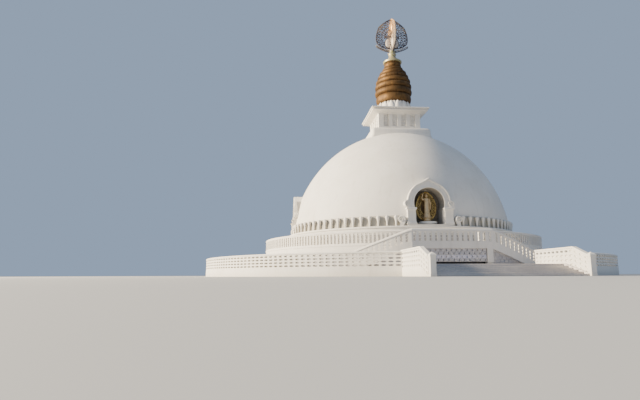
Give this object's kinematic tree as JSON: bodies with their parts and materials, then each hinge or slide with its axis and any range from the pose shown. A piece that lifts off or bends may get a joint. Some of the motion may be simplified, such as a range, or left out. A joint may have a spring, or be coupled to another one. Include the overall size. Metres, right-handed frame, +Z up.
{
  "type": "stupa, 1:2 scale model",
  "caption": "Half-size model of a white domed stupa on two round terraces, with curved stairs, niches that hold standing figures, a square harmika and a ringed spire.",
  "frame": {"origin": "the dome's axis at ground level, on the flat underside of the lower terrace", "axes": "+Z up along the dome's axis, -Y towards the entrance stair, +X to the right of someone who stands at the entrance and looks at the dome"},
  "size_m": [19.0354, 21.52, 14],
  "materials": {
    "white_render": null,
    "bare_concrete": null,
    "golden_bronze": "golden brown painted metal rings, satin and weathered",
    "gilding": "gilded, softly worn",
    "weathered_iron": "dark grey weathered openwork with traces of gilding",
    "pale_copper": "pale grey-green sheet metal, matt"
  },
  "bodies": {
    "root": {"lower_terrace": "white_render", "ring_wall_1": "white_render", "ring_wall_2": "white_render", "ring_wall_3": "white_render", "ring_wall_4": "white_render", "ring_wall_5": "white_render", "ring_wall_6": "white_render", "entry_stair": "bare_concrete", "entry_wing_left": "white_render", "entry_post_left": "white_render", "entry_wing_right": "white_render", "entry_post_right": "white_render", "upper_terrace": "white_render", "upper_parapet_1": "white_render", "upper_parapet_2": "white_render", "upper_parapet_3": "white_render", "upper_parapet_4": "white_render", "upper_parapet_5": "white_render", "landing": "white_render", "landing_grille": "white_render", "landing_parapet": "white_render", "flight_left": "white_render", "flight_parapet_left": "white_render", "flight_right": "white_render", "flight_parapet_right": "white_render", "dome_plinth": "white_render", "dome": "white_render", "niche_frame_front": "white_render", "niche_figure_front": "gilding", "petal_band_1": "white_render", "niche_frame_right": "white_render", "niche_figure_right": "gilding", "petal_band_2": "white_render", "niche_frame_back": "white_render", "niche_figure_back": "gilding", "petal_band_3": "white_render", "niche_frame_left": "white_render", "niche_figure_left": "gilding", "petal_band_4": "white_render", "harmika_plinth": "white_render", "harmika_box": "white_render", "harmika_cornice": "white_render", "lotus_ring": "white_render", "spire": "golden_bronze", "spire_cap": "pale_copper", "finial_arms": "weathered_iron", "finial": "weathered_iron"}
  },
  "joints": []
}
